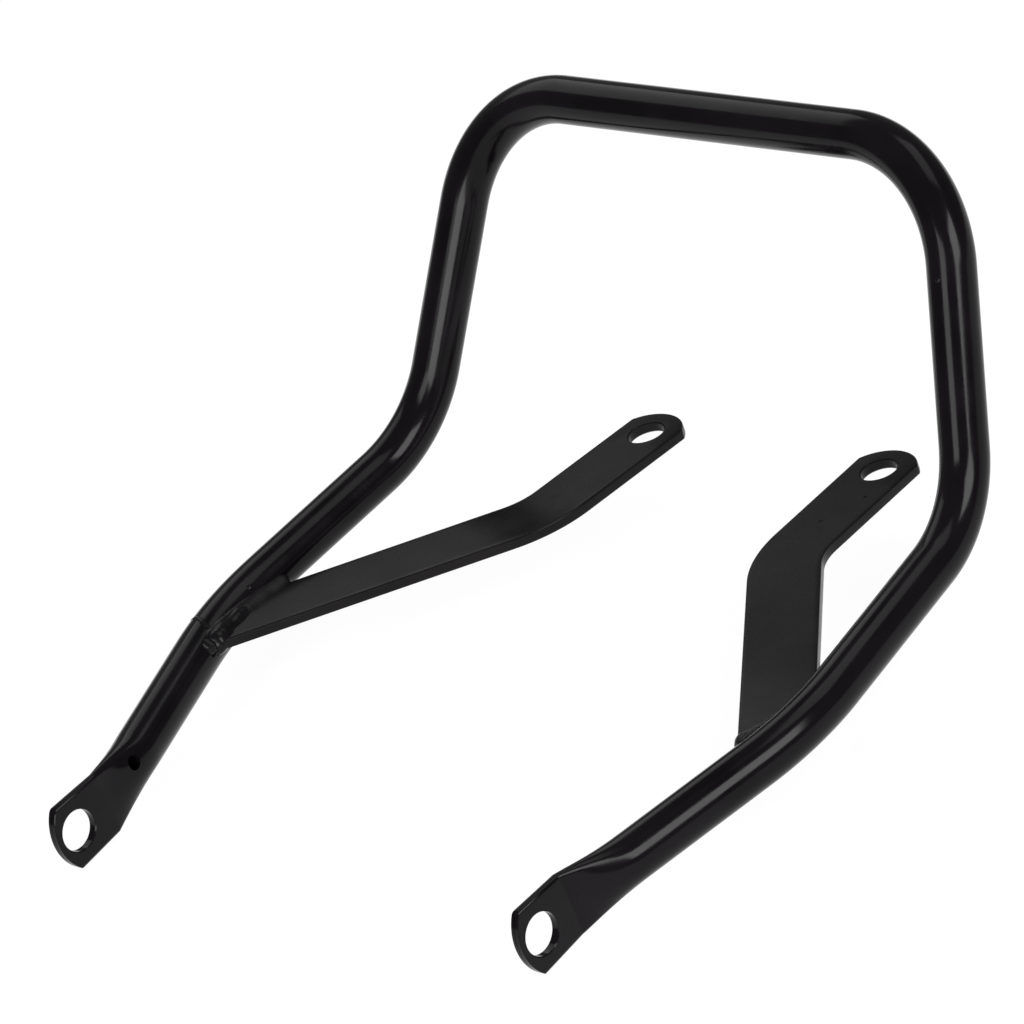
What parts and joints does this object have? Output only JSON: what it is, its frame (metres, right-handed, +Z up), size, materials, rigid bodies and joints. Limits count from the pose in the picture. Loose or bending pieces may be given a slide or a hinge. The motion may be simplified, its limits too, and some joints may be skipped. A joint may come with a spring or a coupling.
{
  "type": "motorcycle rear grab handle",
  "caption": "Black tubular grab rail: a leaning hoop on splayed legs with flattened, drilled ends, and flat welded straps with drilled pads.",
  "frame": {"origin": "on the fender's surface, midway between the holes of the two strap pads, at the pads' underside", "axes": "+X to the rider's left, +Y rearward, +Z up, square to the strap pads"},
  "size_m": [0.3802, 0.3764, 0.2018],
  "materials": {
    "tube_coat": "high-gloss black on steel",
    "strap_coat": "gloss black on steel",
    "weld_coat": "gloss black on steel"
  },
  "bodies": {
    "root": {"hoop_tube": "tube_coat", "left_strap": "strap_coat", "right_strap": "strap_coat", "left_weld_upper": "weld_coat", "right_weld_upper": "weld_coat", "left_weld_lower": "weld_coat", "right_weld_lower": "weld_coat", "left_weld_front": "weld_coat", "right_weld_front": "weld_coat"}
  },
  "joints": []
}
